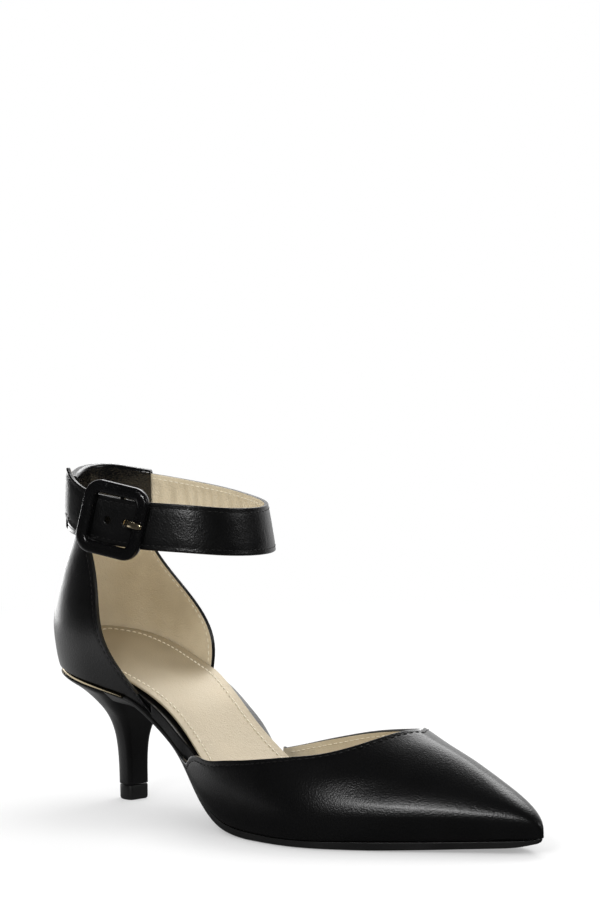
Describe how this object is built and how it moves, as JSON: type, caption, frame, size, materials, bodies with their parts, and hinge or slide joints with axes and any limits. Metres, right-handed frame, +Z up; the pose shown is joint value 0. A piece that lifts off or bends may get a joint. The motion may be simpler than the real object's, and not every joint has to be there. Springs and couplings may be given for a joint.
{
  "type": "ankle strap pump",
  "caption": "Pointed leather pump for the right foot with an open waist, a closed heel cup, a slim covered heel and a buckled ankle strap.",
  "frame": {"origin": "on the floor under the middle of the whole shoe", "axes": "+X to the toe, +Y to the inner side of the foot, +Z up"},
  "size_m": [0.25, 0.0836, 0.137],
  "materials": {
    "leather": "smooth black calf with a soft sheen",
    "lining": "champagne lining leather with a faint metallic sheen",
    "sole": "black, satin",
    "tip": "black, matte",
    "buckle": "black covered, glossy",
    "metal": "polished light gold"
  },
  "bodies": {
    "root": {"outsole": "sole", "insole_board": "leather", "sock": "lining", "heel": "leather", "top_piece": "tip", "heel_trim": "metal", "vamp": "leather", "counter": "leather", "strap_loop": "leather", "ankle_strap": "leather", "buckle_frame": "buckle", "buckle_prong": "metal"}
  },
  "joints": []
}
